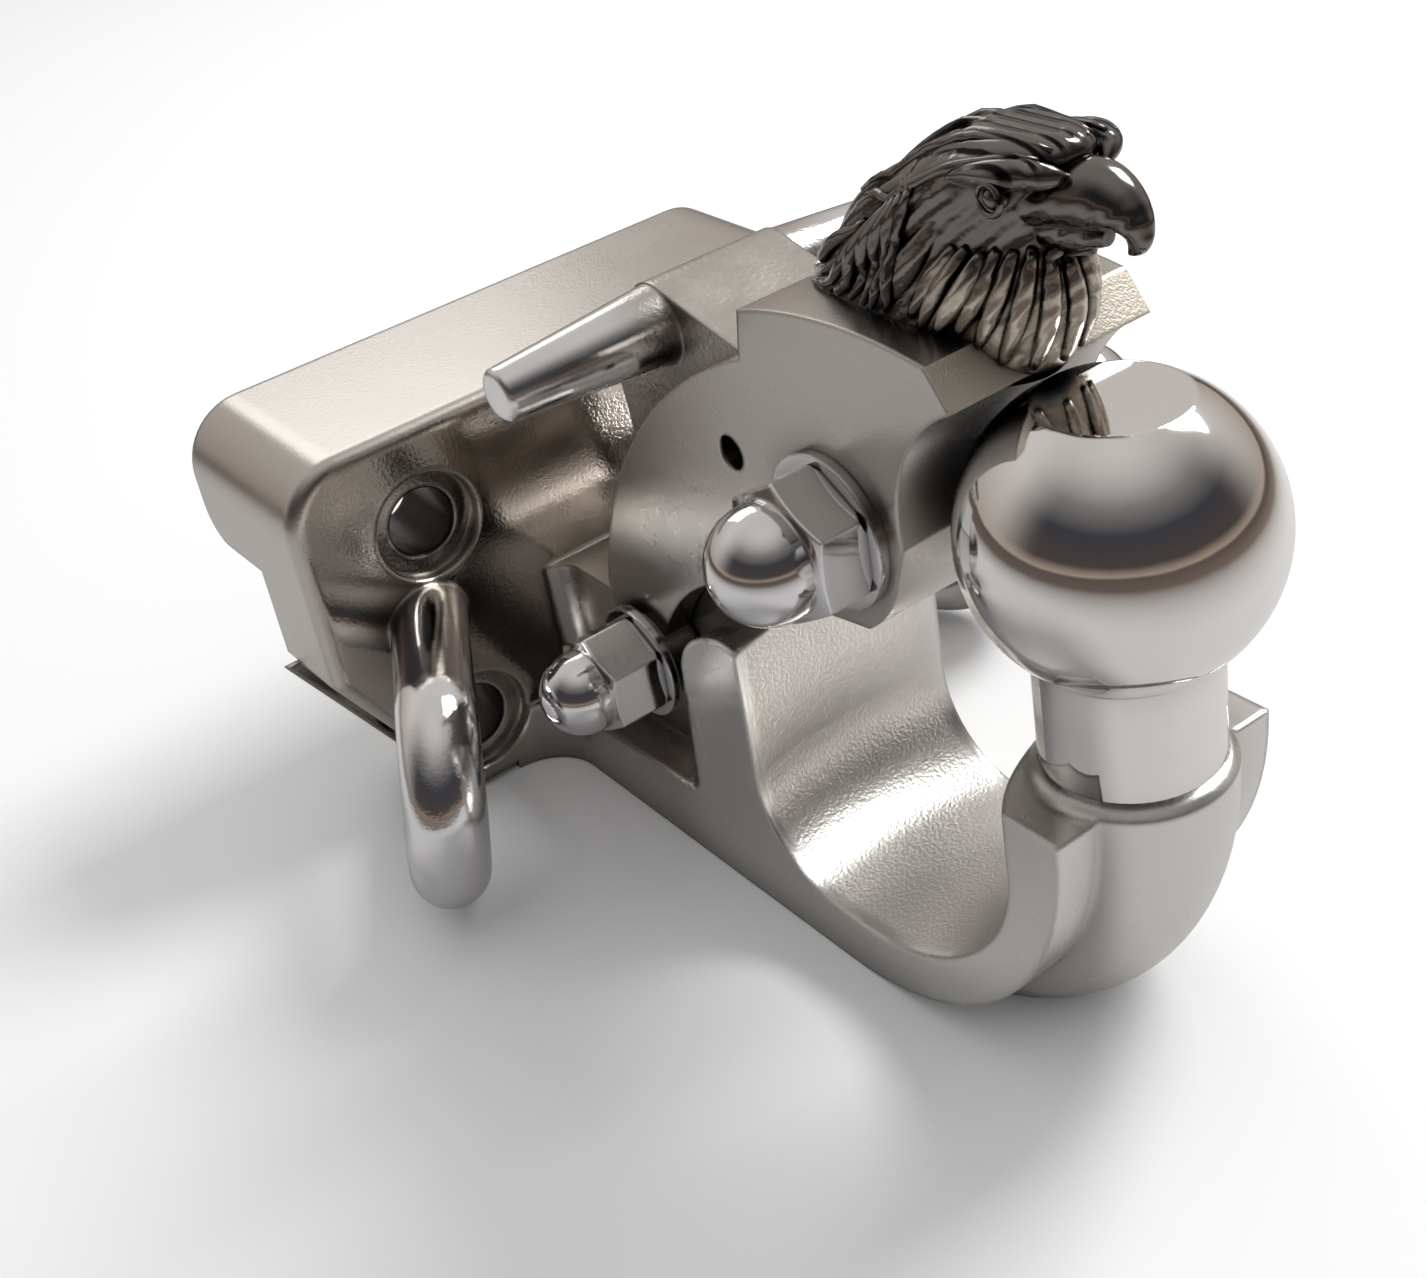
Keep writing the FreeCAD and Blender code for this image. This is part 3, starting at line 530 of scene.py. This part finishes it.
def feathers():
    """Raised ribs of the ornament: chest fan, flowing neck locks, crown lines and eye rings."""
    verts = []
    faces = []
    for k in range(-CHEST_RIBS_A_SIDE, CHEST_RIBS_A_SIDE + 1):
        strand(chest_rib(k), CHEST_RIB, verts, faces)
    for side in (-1.0, 1.0):
        for k in range(NECK_LOCKS):
            strand(neck_lock(side, k), NECK_RIB, verts, faces)
        for k in range(CROWN_LINES):
            strand(crown_line(side, k), CROWN_RIB, verts, faces)
        strand(eye_ring(side), EYE_RIB, verts, faces)
    mesh = bpy.data.meshes.new("eagle_feathers")
    mesh.from_pydata(verts, [], faces)
    mesh.shade_smooth()
    piece = bpy.data.objects.new("eagle_feathers", mesh)
    bpy.context.scene.collection.objects.link(piece)
    mesh.materials.append(nodes["eagle_head"].data.materials[0])
    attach(piece, "jaw")


def make_floor():
    """Pale paper; in mirror images it is greyer, and dark far off."""
    bpy.ops.mesh.primitive_plane_add(size=FLOOR_SIZE, location=(0, 0, cad_box[0][2] - FLOOR_GAP))
    floor = bpy.context.object
    paper = bpy.data.materials.new("paper")
    paper.use_nodes = True
    tree = paper.node_tree
    place = tree.nodes.new("ShaderNodeTexCoord")
    far = tree.nodes.new("ShaderNodeVectorMath")
    far.operation = "LENGTH"
    tree.links.new(place.outputs["Object"], far.inputs[0])
    fade = tree.nodes.new("ShaderNodeMapRange")
    fade.inputs["From Min"].default_value = PAPER_FADE[0]
    fade.inputs["From Max"].default_value = PAPER_FADE[1]
    tree.links.new(far.outputs["Value"], fade.inputs["Value"])
    glossy = tree.nodes.new("ShaderNodeLightPath").outputs["Is Glossy Ray"]
    mirrored = tree.nodes.new("ShaderNodeMath")
    mirrored.operation = "MULTIPLY"
    tree.links.new(glossy, mirrored.inputs[0])
    tree.links.new(fade.outputs["Result"], mirrored.inputs[1])
    near = blend(tree, glossy, PAPER, PAPER_MIRRORED)
    shader = tree.nodes["Principled BSDF"]
    tree.links.new(blend(tree, mirrored.outputs["Value"], near, PAPER_FAR), shader.inputs["Base Color"])
    shader.inputs["Roughness"].default_value = 0.9
    shader.inputs["Specular IOR Level"].default_value = 0.1
    floor.data.materials.append(paper)


def sky(tree, height, stops):
    """Room tone by height above the horizon."""
    ramp = tree.nodes.new("ShaderNodeValToRGB")
    tree.links.new(height, ramp.inputs["Fac"])
    elements = ramp.color_ramp.elements
    for element, (at, tone) in zip(elements, (stops[0], stops[-1])):
        element.position = at
        element.color = (*tone, 1)
    for at, tone in stops[1:-1]:
        elements.new(at).color = (*tone, 1)
    return ramp.outputs["Color"]


def make_room():
    """White to the camera, even light on the floor, toned walls in the chrome."""
    world = bpy.data.worlds.new("studio")
    bpy.context.scene.world = world
    world.use_nodes = True
    tree = world.node_tree
    way = tree.nodes.new("ShaderNodeTexCoord").outputs["Generated"]
    parts = tree.nodes.new("ShaderNodeSeparateXYZ")
    tree.links.new(way, parts.inputs["Vector"])
    along = tree.nodes.new("ShaderNodeVectorMath")
    along.operation = "DOT_PRODUCT"
    along.inputs[1].default_value = REAR_WAY
    tree.links.new(way, along.inputs[0])
    turn = tree.nodes.new("ShaderNodeMapRange")
    turn.interpolation_type = "SMOOTHSTEP"
    turn.inputs["From Min"].default_value = REAR_FADE[0]
    turn.inputs["From Max"].default_value = REAR_FADE[1]
    tree.links.new(along.outputs["Value"], turn.inputs["Value"])
    front = sky(tree, parts.outputs["Z"], FRONT_SKY)
    rear = sky(tree, parts.outputs["Z"], REAR_SKY)
    walls = blend(tree, turn.outputs["Result"], front, rear)
    light = tree.nodes.new("ShaderNodeLightPath")
    lit = blend(tree, light.outputs["Is Glossy Ray"], ROOM_LIGHT, walls)
    seen = blend(tree, light.outputs["Is Camera Ray"], lit, WHITE)
    back = tree.nodes["Background"]
    tree.links.new(seen, back.inputs["Color"])
    back.inputs["Strength"].default_value = 1.0


def make_lamps():
    for name, at, size, power in LAMPS:
        data = bpy.data.lights.new(name, "AREA")
        data.size = size
        data.energy = power
        lamp = bpy.data.objects.new(name, data)
        lamp.location = at
        aim = LAMP_AIM - Vector(at)
        lamp.rotation_euler = aim.to_track_quat("-Z", "Y").to_euler()
        bpy.context.scene.collection.objects.link(lamp)


set_camera()
dress()
feathers()
make_floor()
make_room()
make_lamps()
bpy.context.scene.view_settings.view_transform = "Standard"
